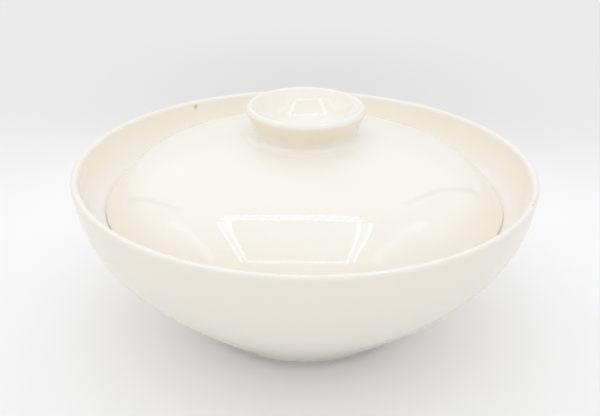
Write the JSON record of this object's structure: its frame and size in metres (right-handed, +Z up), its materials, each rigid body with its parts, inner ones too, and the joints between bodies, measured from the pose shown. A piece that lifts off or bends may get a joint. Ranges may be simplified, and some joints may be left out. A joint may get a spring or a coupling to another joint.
{
  "type": "covered serving bowl",
  "caption": "Round glazed ceramic serving bowl on a low foot ring, with a domed lid that rests on a ledge inside the rim and lifts off by its flared, dished knob.",
  "frame": {"origin": "centre of the plane that the foot ring stands on", "axes": "+Z up along the common axis of bowl, lid and knob; +X and +Y are any two directions square to it, because every piece is a body of revolution"},
  "size_m": [0.24, 0.24, 0.1221],
  "materials": {
    "ivory_glaze": "glossy ivory glaze, slightly warmer where it pools, with a fine iron speck here and there",
    "ivory_glaze_knob": "the same glossy ivory glaze, pooled a little thicker round the neck"
  },
  "bodies": {
    "bowl": {"bowl": "ivory_glaze"},
    "lid": {"lid": "ivory_glaze", "lid_knob": "ivory_glaze_knob"}
  },
  "joints": [
    {"name": "lid_lift", "type": "slide", "parent": "bowl", "child": "lid", "axis": [0, 0, 1], "range_m": [0, 0.12]}
  ]
}
